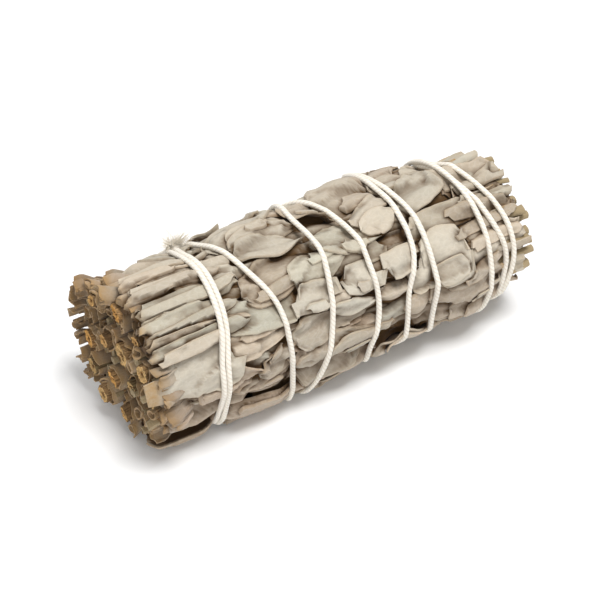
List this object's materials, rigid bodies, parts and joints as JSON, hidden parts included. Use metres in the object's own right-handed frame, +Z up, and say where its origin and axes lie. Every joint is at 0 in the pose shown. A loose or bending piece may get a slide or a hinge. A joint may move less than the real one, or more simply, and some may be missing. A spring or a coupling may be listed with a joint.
{
  "type": "sage bunch",
  "caption": "Bunch of dried sage sprigs laid side by side, cut stems at one end, wound crosswise with one cotton string and lying on its side.",
  "frame": {"origin": "on the surface the bunch lies on, under the middle of its length and width", "axes": "+X along the bunch from the cut stem ends to the leaf tips, +Z up"},
  "size_m": [0.1069, 0.0429, 0.0429],
  "materials": {
    "sage_leaf_1": "matt, felted dried leaf",
    "sage_leaf_2": "matt, felted dried leaf",
    "sage_leaf_3": "matt, felted dried leaf",
    "sage_leaf_4": "matt, felted dried leaf",
    "sage_leaf_5": "matt, felted dried leaf",
    "sage_leaf_6": "matt, felted dried leaf",
    "sage_stem_1": "matt, dry bark with a rough cut end",
    "sage_stem_2": "matt, dry bark with a rough cut end",
    "sage_stem_3": "matt, dry bark with a rough cut end",
    "sage_stem_4": "matt, dry bark with a rough cut end",
    "cotton_string": "matt twisted cotton"
  },
  "bodies": {
    "root": {"leaves_01": "sage_leaf_1", "leaves_02": "sage_leaf_2", "leaves_03": "sage_leaf_3", "leaves_04": "sage_leaf_4", "leaves_05": "sage_leaf_5", "leaves_06": "sage_leaf_6", "leaves_07": "sage_leaf_1", "leaves_08": "sage_leaf_2", "leaves_09": "sage_leaf_3", "leaves_10": "sage_leaf_4", "leaves_11": "sage_leaf_5", "leaves_12": "sage_leaf_6", "leaves_13": "sage_leaf_1", "leaves_14": "sage_leaf_2", "stem_01": "sage_stem_1", "stem_02": "sage_stem_2", "stem_03": "sage_stem_3", "stem_04": "sage_stem_4", "stem_05": "sage_stem_1", "stem_06": "sage_stem_2", "stem_07": "sage_stem_3", "stem_08": "sage_stem_4", "stem_09": "sage_stem_1", "stem_10": "sage_stem_2", "stem_11": "sage_stem_3", "stem_12": "sage_stem_4", "stem_13": "sage_stem_1", "stem_14": "sage_stem_2", "string": "cotton_string"}
  },
  "joints": []
}
